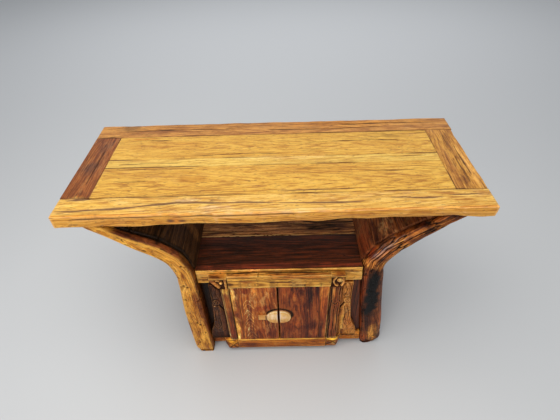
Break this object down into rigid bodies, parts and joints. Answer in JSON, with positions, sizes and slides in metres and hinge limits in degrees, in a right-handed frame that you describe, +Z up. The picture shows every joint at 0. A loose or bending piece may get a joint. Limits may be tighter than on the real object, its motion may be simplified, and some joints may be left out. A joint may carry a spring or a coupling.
{
  "type": "altar table",
  "caption": "Rustic hardwood altar table: framed plank top on bent branch legs, flared open niche and a small cupboard with pivoted doors and a sliding wooden bolt.",
  "frame": {"origin": "on the floor under the middle of the top", "axes": "+X to the right along the table's length, +Y to the back, +Z up; the doors face -Y"},
  "size_m": [1.4003, 0.5501, 0.87],
  "materials": {
    "top_honey": "waxed, honey gold with dark grain and cracks",
    "top_brown": "waxed, red brown with dark streaks",
    "leg_gold": "waxed, natural bent wood with brown worn patches",
    "leg_red": "waxed, natural bent wood with a dark streak and split grain",
    "wall_dark": "dull, almost black old boards",
    "wall_red": "dull, red brown old boards",
    "shelf_dark": "waxed, dark red brown",
    "shelf_rough": "rough sawn, weathered brown",
    "frame_olive": "waxed, olive gold",
    "post_red": "waxed, dark red brown with light arrises",
    "carved_old": "old carving, gold on the high spots and dark in the ground",
    "recess_black": "dull, almost black",
    "door_red": "waxed, red brown with gold streaks",
    "inside_plain": "plain, unfinished",
    "pale_wood": "smooth pale yellow wood"
  },
  "bodies": {
    "table": {"back_board_lower": "recess_black", "back_board_upper": "recess_black", "back_bottom_rail": "frame_olive", "bottom_rail": "frame_olive", "cabinet_floor": "inside_plain", "cabinet_side_left": "recess_black", "cabinet_side_right": "recess_black", "capital_left": "carved_old", "capital_right": "carved_old", "carved_board_left": "carved_old", "carved_board_right": "carved_old", "corner_block_left": "frame_olive", "corner_block_right": "frame_olive", "door_stop_strip": "inside_plain", "floor_cleats": "inside_plain", "leg_back_left": "leg_gold", "leg_back_right": "leg_red", "leg_front_left": "leg_gold", "leg_front_right": "leg_red", "lintel": "frame_olive", "post_left": "post_red", "post_right": "post_red", "recess_panel_left": "recess_black", "recess_panel_right": "recess_black", "shelf_back_plank": "shelf_rough", "shelf_back_rail": "shelf_dark", "shelf_front_plank": "shelf_dark", "shelf_front_rail": "shelf_dark", "shelf_middle_plank": "shelf_rough", "side_rail_left": "frame_olive", "side_rail_right": "frame_olive", "top_back_plank": "top_brown", "top_batten_left": "top_brown", "top_batten_right": "top_brown", "top_end_board_left": "top_brown", "top_end_board_right": "top_brown", "top_field_plank_back": "top_honey", "top_field_plank_front": "top_honey", "top_field_plank_middle": "top_honey", "top_front_plank": "top_honey", "wall_board_left_lower": "wall_dark", "wall_board_left_middle": "wall_dark", "wall_board_left_top": "wall_dark", "wall_board_left_upper": "wall_dark", "wall_board_right_lower": "wall_red", "wall_board_right_middle": "wall_red", "wall_board_right_top": "wall_red", "wall_board_right_upper": "wall_red"},
    "door_left": {"door_left_stile": "door_red", "door_left_board": "door_red", "door_left_battens": "inside_plain", "keeper_left": "pale_wood"},
    "door_right": {"door_right_stile": "door_red", "door_right_board": "door_red", "door_right_battens": "inside_plain", "keeper_right": "pale_wood"},
    "bolt": {"latch_bolt": "pale_wood"}
  },
  "joints": [
    {"name": "door_left_swing", "type": "hinge", "parent": "table", "child": "door_left", "pos_m": [-0.174, -0.254, 0.28], "axis": [0, 0, -1], "range_deg": [0, 92]},
    {"name": "door_right_swing", "type": "hinge", "parent": "table", "child": "door_right", "pos_m": [0.197, -0.254, 0.28], "axis": [0, 0, 1], "range_deg": [0, 92]},
    {"name": "bolt_slide", "type": "slide", "parent": "door_left", "child": "bolt", "axis": [1, 0, 0], "range_m": [0, 0.03]}
  ]
}
